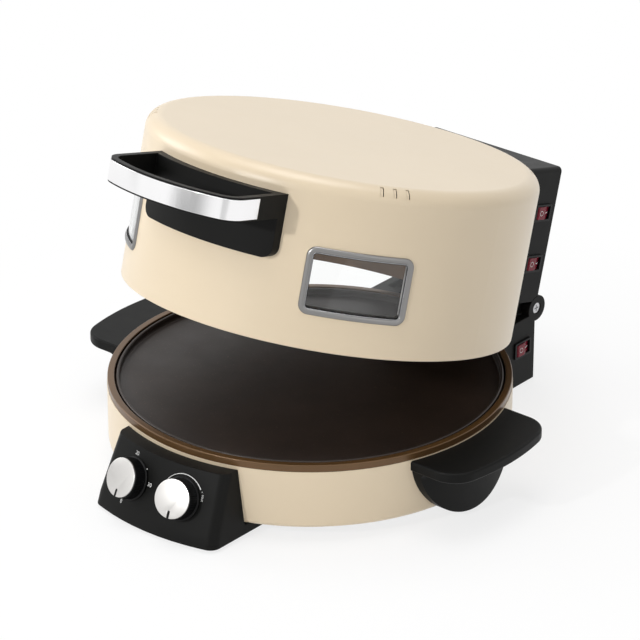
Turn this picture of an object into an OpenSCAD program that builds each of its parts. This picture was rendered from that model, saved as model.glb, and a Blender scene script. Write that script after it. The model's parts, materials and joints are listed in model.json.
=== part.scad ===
// Countertop pizza maker: a round base with a stone, a hinged dome lid and its controls.
// Front is -Y, right is +X, up is +Z, all in millimetres.

/* [Round base] */
// Outer diameter of the painted base wall
body_d = 350; // [310:1:400]
// Height of the painted base wall
base_h = 53; // [46:1:70]
// Lower edge of the base wall above the counter
foot_h = 12; // [10:0.5:16]
// Thickness of the painted steel sheet
sheet = 0.8; // [0.6:0.1:1.5]
// Outer radius of the bend at the bottom of the base wall
base_bend = 5; // [3:0.5:8]

/* [Rim ring and stone] */
// Height of the rolled rim above the base wall
ring_h = 6.2; // [4:0.1:9]
// Width of the rolled rim
ring_w = 6; // [4:0.1:9]
// Gap around the stone
stone_gap = 1.5; // [0.8:0.1:3]
// Thickness of the stone under its rim
stone_t = 10; // [6:0.5:14]
// Height of the raised edge of the stone
stone_rim_h = 6; // [3:0.5:8]
// Width of the raised edge of the stone
stone_rim_w = 3; // [2:0.1:6]
// Depth of the bowl under the stone
bowl_depth = 27; // [22:1:30]

/* [Lid] */
// Outer diameter of the lid
lid_d = 339; // [300:1:390]
// Height of the lid shell
lid_h = 141.6; // [110:0.1:170]
// Radius of the lid's upper edge
lid_fillet = 13; // [6:0.5:20]
// Gap between the closed lid and the rim ring
lid_gap = 1.8; // [1:0.1:4]
// Angle at which the lid stands at rest
lid_open = 15.3; // [0:0.1:30]

/* [Windows] */
// Clear width of a window
win_w = 78.6; // [50:0.1:90]
// Clear height of a window
win_h = 46.6; // [30:0.1:60]
// Centre of a window above the lid's lower edge
win_z = 57.7; // [40:0.1:70]
// Gap along the dome between a window frame and the handle's plate
win_space = 22.8; // [10:0.1:40]
// Visible width of the window frame
win_lip = 5.2; // [3:0.1:8]

/* [Lid handle] */
// Lower edge of the back plate above the lid's lower edge
grip_plate_z = 69.5; // [50:0.5:80]
// Height of the back plate
grip_plate_h = 54; // [40:0.5:60]
// Half width of the back plate and of the gripping loop
grip_half = 69; // [50:0.5:85]
// Reach of the loop in front of the lid
grip_reach = 69.5; // [55:0.5:95]
// Height of the loop
grip_h = 20; // [14:0.5:26]
// Thickness of the loop
grip_t = 5.5; // [4:0.1:8]
// Bow radius of the loop's front
grip_bow = 149; // [110:1:220]

/* [Side handles] */
// Half width of a side handle
side_half = 64; // [50:0.5:75]
// Reach of a side handle beyond the base wall
side_reach = 43.5; // [30:0.5:60]
// Thickness of the handle plate
side_t = 9.5; // [6:0.5:12]
// Thickness of the half round flange on the wall
side_flange = 8; // [5:0.5:12]

/* [Control housing] */
// Half width of the housing at its top
panel_half_top = 61; // [56:0.5:70]
// Half width of the housing at its bottom
panel_half_low = 67; // [60:0.5:78]
// Reach of the housing's top edge beyond the base wall
panel_reach_top = 13; // [11:0.5:20]
// Reach of the housing's lower edge beyond the base wall
panel_reach_low = 37.5; // [30:0.5:50]
// Wall of the moulded housings
wall = 2.5; // [2:0.1:3.5]
// Diameter of a knob
knob_d = 35.4; // [26:0.1:40]
// Length of a knob
knob_l = 13.5; // [10:0.5:20]
// Half distance between the knobs, along the face
knob_half = 27; // [24:0.5:32]

/* [Rear housings and hinge] */
// Half width of both rear housings
rear_half = 73; // [60:0.5:90]
// Hinge axis behind the base wall
hinge_reach = 53; // [44:0.5:70]
// Hinge axis above the top of the base wall
hinge_rise = 4; // [3:0.1:8]
// Radius of the hinge ears
ear_r = 12; // [10:0.5:16]
// Width of a hinge ear
ear_w = 9; // [7:0.5:14]
// Radius of the hinge barrel
barrel_r = 7; // [6:0.1:9]
// Radius of the hinge pins
pin_r = 4; // [3:0.1:4.5]
// Radial running clearance of pins and shafts
run_gap = 0.05; // [0.02:0.01:0.1]

/* [Switches] */
// Length of a switch bezel
bezel_l = 23; // [20:0.5:26]
// Height of a switch bezel
bezel_h = 15.5; // [14:0.5:18]
// Turn of a rocker from on to off
rocker_turn = 20; // [14:1:24]

/* [Hidden] */
$fn = 96;
clear = 0.3;
seat = 0.05;
cut = 1;

body_r = body_d / 2;
base_top = foot_h + base_h;
ring_top = base_top + ring_h;
ring_out = body_r - 0.4;
ring_in = ring_out - ring_w;
stone_r = ring_in - stone_gap;
stone_low = ring_top - 0.2 - stone_rim_h - stone_t;
ledge_top = stone_low - clear;
ledge_in = stone_r - 11;
bowl_wall = 1;
bowl_low = stone_low - bowl_depth;

lid_r = lid_d / 2;
rim_z = ring_top + lid_gap;
liner_gap = 10;
liner_r = lid_r - liner_gap;
liner_h = lid_h - 26;
liner_wall = 0.8;
liner_fillet = 20;

hinge_y = body_r + hinge_reach;
hinge_z = base_top + hinge_rise;
rear_y = hinge_y - 2.5;
rear_low = 1;
lid_rear_low = hinge_z + barrel_r;
lid_rear_top = rim_z + lid_h - 15;
housing_round = 4.5;
ear_in = rear_half - ear_w;
barrel_half = ear_in - clear;
pin_depth = 24;
boss_x = rear_half - 6;
cord_x = -45;
cord_z = 22;
pin_head_r = 4.9;
pin_head_t = 2.2;
pin_sink = 3;

panel_top = base_top - 3;
panel_mid = foot_h + 2;
panel_low = 3;
panel_r_top = body_r + panel_reach_top;
panel_r_low = body_r + panel_reach_low;
panel_r_mid = panel_r_low - 3;
panel_back = -110;
panel_round = 10;
panel_tilt = atan((panel_r_mid - panel_r_top) / (panel_top - panel_mid));
knob_z = 37;
knob_face_r = panel_r_top + (panel_top - knob_z) * tan(panel_tilt);
knob_angle = asin(knob_half / knob_face_r);
knob_stand = 0.4;
unit_z = -(wall + 1);
cap_t = 1.2;
shaft_r = 3;
pointer_turn = -15;

grip_front = lid_r + grip_reach;
grip_low = rim_z + grip_plate_z + grip_plate_h - grip_h;
grip_corner = 20;
grip_back = 5 - sqrt(lid_r * lid_r - grip_half * grip_half);
grip_plate_t = 8.5;
trim_h = 17;
trim_back = -(lid_r + 21);
win_angle = asin(grip_half / lid_r) + asin((win_w / 2 + win_lip) / lid_r) + win_space / lid_r * 180 / PI;
sleeve = 2.2;
frame_proud = 1.8;
glass_t = 3;
vent_angle = 53.3;
vent_back = 137;
vent_step = 3.8;
vent_w = 2.8;
vent_drop = 7.2;
vent_reach = 8.6;

side_top = base_top - 0.8;
side_disc_z = side_half + 1;
side_bow = body_r + side_reach;
side_round = 25;
side_low = 1;
side_screw_z = foot_h + 26;

switch_y = hinge_y - 21;
base_switch_z = 37;
lid_switch_z = [rim_z + 39.2, rim_z + 86];
bezel_t = 1.6;
bezel_lap = 1.1;
rocker_r = bezel_l / 2 - 2.2;
rocker_w = bezel_h - 4.1;
rocker_axle = 1.2;
rocker_in = 3.2;
rocker_rise = 5.6;

tube_r = 3.25;
heater_side = 37.5;
heater_pitch = 50;
low_heater_r = ledge_in - 44.1;
up_heater_r = [liner_r - heater_side - heater_pitch, liner_r - heater_side];
low_heater_z = bowl_low + 14;
up_heater_z = rim_z + liner_h - 16;
heater_bend = 9;
heater_end = 18;

knob_low_y = knob_face_r + (knob_l + knob_stand) * cos(panel_tilt) + knob_d / 2 * sin(panel_tilt);
front_reach = max(panel_r_low, knob_low_y * cos(knob_angle));
rear_reach = hinge_y + (rear_y - hinge_y) * cos(lid_open) + (lid_rear_top - hinge_z) * sin(lid_open);
axis_y = (front_reach - rear_reach) / 2;

cream = [0.87, 0.81, 0.70];
black = [0.15, 0.15, 0.15];
bronze = [0.40, 0.30, 0.18];
steel = [0.75, 0.76, 0.78];
crimson = [0.55, 0.05, 0.12];
white = [0.95, 0.95, 0.93];

// Places a piece of the base, drawn about the round body's axis
module on_base() {
    translate([0, axis_y, 0]) children();
}

// Places a piece of the lid, drawn closed, at the angle where the lid rests
module on_lid() {
    on_base() translate([0, hinge_y, hinge_z]) rotate([-lid_open, 0, 0])
        translate([0, -hinge_y, -hinge_z]) children();
}

// Turns a piece drawn at the front to an angle towards the right
module around(angle) {
    rotate([0, 0, angle]) children();
}

// Both sides, mirrored left to right
module both_sides() {
    children();
    mirror([1, 0, 0]) children();
}

module rounded_rect(w, h, r) {
    square([w - 2 * r, h], center = true);
    square([w, h - 2 * r], center = true);
    for (x = [-1, 1], y = [-1, 1]) translate([x * (w / 2 - r), y * (h / 2 - r)]) circle(r);
}

// Half section of a round pan or dome with a rounded outer corner at its far end
module dome_section(r, h, fillet) {
    square([r - fillet, h]);
    square([r, h - fillet]);
    translate([r - fillet, h - fillet]) circle(fillet);
}

module tube_ring(inner, outer, low, high) {
    rotate_extrude() translate([inner, low]) square([outer - inner, high - low]);
}

// A prism that points outwards at the front, centred at a height, with a rounded outline
module front_prism(w, h, r, z, near, far) {
    translate([0, -near, z]) rotate([90, 0, 0]) linear_extrude(far - near) rounded_rect(w, h, r);
}

// A screw along +Z with its head's underside at 0
module screw(shank_r, length, head_r, head_h) {
    translate([0, 0, -length]) cylinder(r = shank_r, h = length + 0.01);
    difference() {
        cylinder(r = head_r, h = head_h);
        for (a = [0, 90]) rotate([0, 0, a]) translate([0, 0, head_h])
            cube([head_r * 1.2, head_r * 0.25, head_h], center = true);
    }
}

// Painted steel wall of the base, turned in at the bottom
module base_shell() {
    color(cream) on_base() difference() {
        rotate_extrude() difference() {
            translate([0, base_top]) mirror([0, 1]) dome_section(body_r, base_h, base_bend);
            translate([0, base_top + cut]) mirror([0, 1])
                dome_section(body_r - sheet, base_h + cut - sheet, base_bend - sheet);
            square([body_r - 24, base_top]);
        }
        front_prism(84, 26, 4, foot_h + base_h * 0.5, body_r - 10, body_r + 10);
        rotate([0, 0, 180]) front_prism(84, 26, 4, foot_h + base_h * 0.5, body_r - 10, body_r + 10);
        side_screw_holes(2.2);
        cover_screw_places() cylinder(r = 1.6, h = 10, center = true);
    }
}

module cover_screw_places() {
    for (a = [30 : 60 : 330]) around(a) translate([0, -(body_r - 18), foot_h]) children();
}

// Steel plate that closes the base from below
module bottom_cover() {
    color(steel) on_base() difference() {
        translate([0, 0, foot_h - sheet]) cylinder(r = body_r - 10, h = sheet);
        cover_screw_places() cylinder(r = 1.8, h = 10, center = true);
        for (a = [0 : 30 : 330]) around(a + 15) translate([0, -70, foot_h])
            cube([4, 40, 10], center = true);
    }
}

module bottom_screws() {
    color(steel) on_base() cover_screw_places() translate([0, 0, -sheet]) rotate([180, 0, 0])
        screw(1.5, 6, 3.2, 1.6);
}

// Four tall feet under the base and two pads under the control housing
module feet() {
    color(black) on_base() {
        for (a = [50, 130, 230, 310]) around(a) translate([0, -125, 0])
            cylinder(r1 = 12, r2 = 13, h = foot_h - sheet);
        for (x = [-45, 45]) translate([x, -(body_r + 12), 0]) cylinder(r = 8, h = panel_low);
    }
}

// Coated steel bowl with the rolled rim that shows around the stone
module bowl_liner() {
    edge = 0.8;
    color(bronze) on_base() difference() {
        rotate_extrude() {
            translate([(ring_in + ring_out) / 2, (base_top + ring_top) / 2])
                rounded_rect(ring_w, ring_h, edge);
            translate([ring_in, base_top]) square([ring_w, edge * 2]);
            translate([ring_in, ledge_top - bowl_wall])
                square([bowl_wall, base_top + edge - ledge_top + bowl_wall]);
            translate([ledge_in, ledge_top - bowl_wall])
                square([ring_in - ledge_in + bowl_wall, bowl_wall]);
            translate([ledge_in, bowl_low - bowl_wall])
                square([bowl_wall, ledge_top - bowl_low + bowl_wall]);
            translate([0, bowl_low - bowl_wall]) square([ledge_in + bowl_wall, bowl_wall]);
        }
        for (s = [-1, 1]) heater_leg_place(low_heater_r, s)
            translate([0, 0, bowl_low]) cylinder(r = tube_r + 2, h = 20, center = true);
    }
}

// Round baking stone with a raised edge, resting on the ledge of the bowl
module baking_stone() {
    top = stone_low + stone_t;
    color(bronze) on_base() rotate_extrude() {
        translate([0, stone_low]) square([stone_r, stone_t]);
        translate([stone_r - stone_rim_w, top - 0.01]) square([stone_rim_w, stone_rim_h - 1]);
        translate([stone_r - stone_rim_w / 2, top + stone_rim_h - stone_rim_w / 2])
            circle(stone_rim_w / 2);
    }
}

// Half angle of the gap where a heater ring ends
function heater_gap(r) = asin(heater_end / r);

// Where a heater's leg stands, on one side of the gap at the back
module heater_leg_place(r, side) {
    rotate([0, 0, side * heater_gap(r)]) translate([side * heater_bend, r, 0]) children();
}

// A round heating tube with both ends bent straight up or down
module heater_ring(r, z, leg, up) {
    translate([0, 0, z]) {
        rotate([0, 0, 90 + heater_gap(r)]) rotate_extrude(angle = 360 - 2 * heater_gap(r))
            translate([r, 0]) circle(tube_r);
        for (s = [-1, 1]) rotate([0, 0, s * heater_gap(r)]) translate([0, r, 0])
            rotate([up ? 0 : 180, 0, s > 0 ? 0 : 180]) {
                translate([0, 0, heater_bend]) rotate([90, 0, 0]) rotate([0, 0, -90])
                    rotate_extrude(angle = 90) translate([heater_bend, 0]) circle(tube_r);
                translate([heater_bend, 0, heater_bend]) cylinder(r = tube_r, h = leg);
            }
    }
}

// Ceramic bush around a heater's leg, its collar below the sheet
module bushing_at(r, side, low) {
    heater_leg_place(r, side) translate([0, 0, low - 3]) difference() {
        union() {
            cylinder(r = tube_r + 1.9, h = 6);
            cylinder(r = tube_r + 3.6, h = 3);
        }
        translate([0, 0, -cut]) cylinder(r = tube_r + 0.1, h = 10);
    }
}

module lower_heater() {
    color(steel) on_base() heater_ring(low_heater_r, low_heater_z, 12, false);
}

// Saddles that carry the lower heating tube on the bowl's floor
module lower_heater_clips() {
    color(steel) on_base() for (a = [60, 180, 300]) rotate([0, 0, a]) translate([0, low_heater_r, 0])
        difference() {
            translate([-5, -8, bowl_low]) cube([10, 16, low_heater_z - bowl_low + 1]);
            translate([0, 0, low_heater_z]) rotate([0, 90, 0])
                cylinder(r = tube_r + 0.3, h = 20, center = true);
        }
}

module lower_heater_bushings() {
    color(white) on_base() for (s = [-1, 1]) bushing_at(low_heater_r, s, bowl_low - bowl_wall);
}

// Button-shaped safety cut-out under the bowl
module thermal_cutout() {
    color(black) on_base() translate([55, 60, bowl_low - bowl_wall - 6]) {
        cylinder(r = 8, h = 6);
        for (x = [-1, 1]) translate([x * 5 - 0.5, -2.5, -3]) cube([1, 5, 3.2]);
    }
}

// Flat outline with straight sides and a bowed front, its corners rounded
module bowed_outline(half, bow, corner, front, back) {
    mid = bow - front;
    side_x = half - corner;
    corner_y = mid - sqrt((bow - corner) * (bow - corner) - side_x * side_x);
    for (s = [-1, 1]) translate([s * side_x, corner_y]) circle(corner);
    translate([-half, corner_y]) square([2 * half, back - corner_y]);
    intersection() {
        translate([0, mid]) circle(bow);
        polygon([[0, mid], [side_x * 2, mid + (corner_y - mid) * 2],
            [-side_x * 2, mid + (corner_y - mid) * 2]]);
        translate([-half, -2 * front]) square([2 * half, 2 * front + back]);
    }
}

// Disc with rounded edges
module round_disc(r, h, edge) {
    rotate_extrude() {
        square([r - edge, h]);
        translate([0, edge]) square([r, h - 2 * edge]);
        for (z = [edge, h - edge]) translate([r - edge, z]) circle(edge);
    }
}

// Plate with the bowed outline and rounded edges
module bowed_plate(half, bow, corner, front, back, h, edge) {
    mid = bow - front;
    side_x = half - corner;
    corner_y = mid - sqrt((bow - corner) * (bow - corner) - side_x * side_x);
    for (s = [-1, 1]) translate([s * side_x, corner_y, 0]) round_disc(corner, h, edge);
    translate([0, back, h / 2]) rotate([90, 0, 0]) linear_extrude(back - corner_y)
        rounded_rect(2 * half, h, edge);
    intersection() {
        translate([0, mid, 0]) round_disc(bow, h, edge);
        translate([0, 0, -cut]) linear_extrude(h + 2 * cut)
            polygon([[0, mid], [side_x * 2, mid + (corner_y - mid) * 2],
                [-side_x * 2, mid + (corner_y - mid) * 2]]);
    }
}

// Places of the screws that hold the side handles, pointing outwards along +Z
module side_screw_places() {
    for (a = [90 - 14, 90 + 14, 270 - 14, 270 + 14]) around(a)
        translate([0, -(body_r - sheet - seat), side_screw_z]) rotate([90, 0, 0]) children();
}

module side_screw_holes(r) {
    side_screw_places() translate([0, 0, -2]) cylinder(r = r, h = 10);
}

// Side handle: a bowed plate over a half round flange that follows the wall
module side_handle(side) {
    color(black) on_base() difference() {
        rotate([0, 0, side * 90]) {
            translate([0, 0, side_top - side_t])
                bowed_plate(side_half, side_bow, side_round, side_bow, -(body_r - 30), side_t, 2);
            intersection() {
                rotate_extrude() {
                    translate([body_r - 10, side_low]) square([10 + side_flange, side_top - 4 - side_low]);
                    translate([body_r + side_flange, side_top - side_t - 6]) difference() {
                        square([6, 6.5]);
                        translate([6, 0]) circle(6);
                    }
                }
                translate([0, -body_r, side_disc_z]) rotate([90, 0, 0])
                    cylinder(r = side_half - 0.5, h = 80, center = true);
            }
        }
        cylinder(r = body_r + seat, h = 200);
        side_screw_places() cylinder(r = 1.95, h = 7.5);
    }
}

module right_handle() {
    side_handle(1);
}

module left_handle() {
    side_handle(-1);
}

module side_handle_screws() {
    color(steel) on_base() side_screw_places() rotate([180, 0, 0]) screw(1.9, 7, 3.4, 2);
}

// Places of the screws that close the control housing from below
module control_screw_places() {
    for (x = [-1, 1], y = [0, 1]) translate([x * (panel_half_low - 9), panel_back - 10 - y * 42, panel_low])
        children();
}

// Places a piece on the axis of a knob, with the face of the housing at 0
module knob_place(side) {
    on_base() around(side * knob_angle) translate([0, -knob_face_r, knob_z])
        rotate([90 - panel_tilt, 0, 0]) children();
}

module panel_slice(z, half, r, back, inset) {
    translate([0, 0, z]) linear_extrude(0.01)
        bowed_outline(half - inset, r - inset, panel_round - inset, r - inset, back - inset);
}

// Half width of the control housing at a height
function panel_half(z) = panel_half_low
    - (panel_half_low - panel_half_top) * (z - panel_low) / (panel_top - panel_low);

// Radius of the control housing's front at a height near its lower edge
function panel_toe(z) = panel_r_low
    - (panel_r_low - panel_r_mid) * (z - panel_low) / (panel_mid - panel_low);

// Tapered form of the control housing, smaller by an inset
module panel_form(inset, low) {
    tail = foot_h - sheet;
    hull() {
        panel_slice(low, panel_half_low, panel_r_low, panel_back, inset);
        panel_slice(tail, panel_half(tail), panel_toe(tail), panel_back, inset);
        panel_slice(panel_mid, panel_half(panel_mid), panel_r_mid, -(body_r - 15), inset);
        panel_slice(panel_top - inset - 0.01, panel_half_top, panel_r_top, -(body_r - 15), inset);
    }
}

// Moulded control housing in front of the wall, with a low tail under the base
module control_housing() {
    tail_top = foot_h - sheet;
    color(black) difference() {
        on_base() difference() {
            union() {
                difference() {
                    panel_form(0, panel_low);
                    difference() {
                        panel_form(wall, panel_low - cut);
                        translate([0, 0, tail_top - wall]) cylinder(r = body_r + wall, h = wall);
                    }
                }
                control_screw_places() translate([0, 0, 2.2])
                    cylinder(r = 3.4, h = tail_top - panel_low - 2.3);
            }
            translate([0, 0, tail_top]) cylinder(r = body_r + seat, h = 100);
            control_screw_places() translate([0, 0, -cut]) cylinder(r = 1.45, h = 7.5);
        }
        for (s = [-1, 1]) knob_place(s) translate([0, 0, -20]) cylinder(r = shaft_r + clear, h = 40);
    }
}

module control_housing_cover() {
    inset = wall + 0.9;
    color(black) on_base() difference() {
        translate([0, 0, panel_low]) linear_extrude(2)
            bowed_outline(panel_half_low - inset, panel_r_low - inset, panel_round - inset,
                panel_r_low - inset, panel_back - inset);
        control_screw_places() translate([0, 0, -cut]) cylinder(r = 1.7, h = 5);
        for (x = [-24 : 8 : 24]) translate([x - 1.5, -(body_r + 8), 0]) cube([3, 16, 10]);
    }
}

module control_cover_screws() {
    color(steel) on_base() control_screw_places() rotate([180, 0, 0]) screw(1.3, 6, 2.8, 1.4);
}

// Clockwork timer behind the housing's face
module timer_unit() {
    color(steel) knob_place(-1) difference() {
        union() {
            translate([0, 0, unit_z - 13]) cylinder(r = 13.5, h = 13);
            for (x = [-1, 1]) translate([x * 15.5, 0, unit_z - 2]) cylinder(r = 2.6, h = 1.5);
            translate([-15.5, -2.6, unit_z - 2]) cube([31, 5.2, 1.5]);
            for (x = [-1, 1]) translate([x * 4 - 1.5, 5, -wall - 18]) cube([3, 0.8, 5]);
        }
        translate([0, 0, unit_z - 8]) cylinder(r = shaft_r + run_gap, h = 20);
    }
}

// Capillary thermostat behind the housing's face
module thermostat_unit() {
    color(steel) knob_place(1) difference() {
        union() {
            translate([-12, -12, unit_z - 10]) cube([24, 24, 10]);
            translate([0, 0, unit_z - 14]) cylinder(r = 7, h = 5);
            for (x = [-1, 1]) translate([x * 8 - 1.5, -4, -wall - 16]) cube([3, 0.8, 5.5]);
        }
        translate([0, 0, unit_z - 8]) cylinder(r = shaft_r + run_gap, h = 20);
    }
}

// Steel shaft with a flat on its outer end
module knob_shaft() {
    difference() {
        translate([0, 0, unit_z - 7]) cylinder(r = shaft_r, h = 7 - unit_z + knob_stand + 9);
        translate([-5, 1.9, knob_stand + 2]) cube([10, 5, 20]);
    }
}

module timer_shaft() {
    color(steel) knob_place(-1) knob_shaft();
}

module thermostat_shaft() {
    color(steel) knob_place(1) knob_shaft();
}

// Round knob, hollow from below, with a stepped skirt and a D shaped bore
module knob() {
    r = knob_d / 2;
    translate([0, 0, knob_stand]) difference() {
        union() {
            cylinder(r = r + 0.5, h = 1.6);
            cylinder(r = r + 0.1, h = knob_l - cap_t - 1.6);
            cylinder(r = r - 0.4, h = knob_l - cap_t);
            for (z = [3.6, 5.6, 7.6]) translate([0, 0, z]) cylinder(r = r + 0.4, h = 0.9);
        }
        difference() {
            translate([0, 0, -cut]) cylinder(r = r - 2, h = knob_l - cap_t - 3 + cut);
            cylinder(r = 6, h = knob_l);
            for (a = [0, 60, 120]) rotate([0, 0, a]) translate([-r, -0.6, 2.5]) cube([2 * r, 1.2, 20]);
        }
        difference() {
            translate([0, 0, -cut]) cylinder(r = shaft_r + seat, h = 9.3 + cut);
            translate([-5, 1.9 + seat, 2.05]) cube([10, 5, 20]);
        }
    }
}

module timer_knob() {
    color(black) knob_place(-1) knob();
}

module thermostat_knob() {
    color(black) knob_place(1) knob();
}

// Thin metal disc on a knob, notched at the pointer
module knob_cap() {
    r = knob_d / 2 - 0.2;
    translate([0, 0, knob_stand + knob_l - cap_t]) difference() {
        cylinder(r = r, h = cap_t);
        rotate([0, 0, pointer_turn]) translate([-1.6, -r - cut, -cut]) cube([3.2, 6 + cut, 5]);
    }
}

module timer_cap() {
    color(steel) knob_place(-1) knob_cap();
}

module thermostat_cap() {
    color(steel) knob_place(1) knob_cap();
}

// Places a switch on the right side of a housing, outwards along +Z and the front end along -Y
module switch_place(z) {
    translate([rear_half, switch_y, z]) rotate([0, 90, 0]) children();
}

// Opening in a housing's side for a switch
module switch_hole(z) {
    switch_place(z) cube([bezel_h - 2 * bezel_lap + 0.4, bezel_l - 2 * bezel_lap + 0.4, 12], center = true);
}

// Bezel and contact body of a rocker switch, hollow where the rocker sits
module switch_body() {
    depth = 13;
    difference() {
        union() {
            linear_extrude(bezel_t) rounded_rect(bezel_h, bezel_l, 1.5);
            translate([-bezel_h / 2 + bezel_lap, -bezel_l / 2 + bezel_lap, -depth])
                cube([bezel_h - 2 * bezel_lap, bezel_l - 2 * bezel_lap, depth]);
            for (y = [-5, 0, 5]) translate([-2, y - 0.4, -depth - 5]) cube([4, 0.8, 6]);
        }
        translate([-rocker_w / 2 - 0.15, -rocker_r - 0.2, -6.9])
            cube([rocker_w + 0.3, 2 * rocker_r + 0.4, 20]);
        translate([0, 0, -rocker_in]) rotate([0, 90, 0])
            cylinder(r = rocker_axle + run_gap, h = rocker_w + 1.3, center = true);
    }
}

// Rocker with a ridge across its face, pressed in at its rear end
module rocker() {
    slope = rocker_turn / 2;
    edge = rocker_rise - 12 * tan(slope);
    translate([0, 0, -rocker_in]) rotate([-slope, 0, 0]) rotate([90, 0, 90]) {
        translate([0, 0, -rocker_w / 2]) linear_extrude(rocker_w) intersection() {
            circle(rocker_r);
            polygon([[0, rocker_rise], [12, edge], [12, 1], [2.4, -2.4],
                [-2.4, -2.4], [-12, 1], [-12, edge]]);
        }
        cylinder(r = rocker_axle, h = rocker_w + 1.1, center = true);
    }
}

module base_switch_body() {
    color(black) on_base() switch_place(base_switch_z) switch_body();
}

module base_rocker() {
    color(crimson) on_base() switch_place(base_switch_z) rocker();
}

module lid_switch_bodies() {
    color(black) on_lid() for (z = lid_switch_z) switch_place(z) switch_body();
}

module lower_rocker() {
    color(crimson) on_lid() switch_place(lid_switch_z[0]) rocker();
}

module upper_rocker() {
    color(crimson) on_lid() switch_place(lid_switch_z[1]) rocker();
}

// A box between two corners
module span(low, high) {
    translate(low) cube([high[0] - low[0], high[1] - low[1], high[2] - low[2]]);
}

// Screws that close the base's rear housing from below
module base_cover_screw_places() {
    for (x = [-1, 1], y = [hinge_y - 44, rear_y - 8]) translate([x * boss_x, y, rear_low]) children();
}

// Moulded housing behind the base, with an ear for the hinge at each side
module base_rear_housing() {
    trough_z = hinge_z - barrel_r - 2;
    roof = trough_z - wall;
    color(black) on_base() difference() {
        union() {
            difference() {
                span([-rear_half, 0, rear_low], [rear_half, rear_y, base_top]);
                span([-rear_half + wall, 0, rear_low - cut],
                    [rear_half - wall, rear_y - wall, base_top - wall]);
            }
            span([-ear_in - 1, 0, roof], [ear_in + 1, rear_y - 1, base_top - 0.5]);
            both_sides() {
                translate([ear_in, hinge_y, hinge_z]) rotate([0, 90, 0]) cylinder(r = ear_r, h = ear_w);
                span([ear_in, rear_y - 9, roof - 6], [rear_half, rear_y, hinge_z]);
                base_bosses() cylinder(r = 4, h = 24);
            }
        }
        span([-ear_in, hinge_y - 42, trough_z], [ear_in, rear_y + 20, base_top + 20]);
        translate([0, 0, -cut]) cylinder(r = body_r + seat, h = 200);
        translate([0, hinge_y, hinge_z]) rotate([0, 90, 0])
            cylinder(r = pin_r + 0.02, h = 4 * rear_half, center = true);
        both_sides() translate([rear_half - pin_sink, hinge_y, hinge_z]) rotate([0, 90, 0])
            cylinder(r = pin_head_r + clear, h = 20);
        base_cover_screw_places() translate([0, 0, -cut]) cylinder(r = 1.45, h = 12);
        switch_hole(base_switch_z);
        translate([cord_x, rear_y, cord_z]) rotate([90, 0, 0]) cylinder(r = 6.2, h = 20, center = true);
    }
}

// Bosses inside the right half, clear of the cover
module base_bosses() {
    for (y = [hinge_y - 44, rear_y - 8]) translate([boss_x, y, rear_low + 2.2]) children();
}

module base_rear_cover() {
    edge = rear_half - wall - 0.4;
    color(black) on_base() difference() {
        span([-edge, 0, rear_low], [edge, rear_y - wall - 0.4, rear_low + 2]);
        translate([0, 0, -cut]) cylinder(r = body_r + 0.6, h = 50);
        base_cover_screw_places() translate([0, 0, -cut]) cylinder(r = 1.7, h = 5);
        for (x = [-40 : 10 : 40]) span([x - 1.5, hinge_y - 34, 0], [x + 1.5, hinge_y - 14, 10]);
    }
}

module base_cover_screws() {
    color(steel) on_base() base_cover_screw_places() rotate([180, 0, 0]) screw(1.3, 8, 2.8, 1);
}

// Flanged gland for the supply cord, at the back
module cord_grommet() {
    color(black) on_base() translate([cord_x, rear_y, cord_z]) rotate([-90, 0, 0]) difference() {
        union() {
            translate([0, 0, -8]) cylinder(r = 6.1, h = 9);
            cylinder(r = 9, h = 3);
            cylinder(r1 = 7, r2 = 5.5, h = 16);
        }
        translate([0, 0, -10]) cylinder(r = 3.6, h = 40);
    }
}

// Two stepped hinge screws, entering the barrel from outside
module hinge_screws() {
    color(steel) on_base() both_sides()
        translate([rear_half - pin_sink, hinge_y, hinge_z]) rotate([0, 90, 0])
            screw(pin_r, pin_depth, pin_head_r, pin_head_t);
}

// Place of a window, its centre at the front before it is turned
module window_cut(grow, r, near, far) {
    front_prism(win_w + 2 * grow, win_h + 2 * grow, r, rim_z + win_z, near, far);
}

module lid_screw_places() {
    for (x = [-1, 1], z = [0, 1]) {
        around(x * 11) translate([0, -(lid_r - sheet - seat), rim_z + grip_plate_z + 13 + z * 30])
            rotate([90, 0, 0]) children();
        around(180 + x * 17) translate([0, -(lid_r - sheet - seat), rim_z + 24 + z * 84])
            rotate([90, 0, 0]) children();
    }
}

// Painted steel dome with window openings and vent slots across its upper edge
module lid_shell() {
    color(cream) on_lid() difference() {
        translate([0, 0, rim_z]) rotate_extrude() difference() {
            dome_section(lid_r, lid_h, lid_fillet);
            translate([0, -cut]) dome_section(lid_r - sheet, lid_h + cut - sheet, lid_fillet - sheet);
        }
        for (s = [-1, 1]) around(s * win_angle) window_cut(sleeve + 0.1, 5, 100, 200);
        for (a = [vent_angle, -vent_angle, vent_back, -vent_back], i = [-1, 0, 1]) around(a + i * vent_step)
            span([-vent_w / 2, -(lid_r + 5), rim_z + lid_h - vent_drop],
                [vent_w / 2, -(lid_r - vent_reach), rim_z + lid_h + 5]);
        lid_screw_places() translate([0, 0, -5]) cylinder(r = 2, h = 20);
        span([-28, lid_r - 20, rim_z + 50], [28, lid_r + 5, rim_z + 80]);
    }
}

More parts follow.
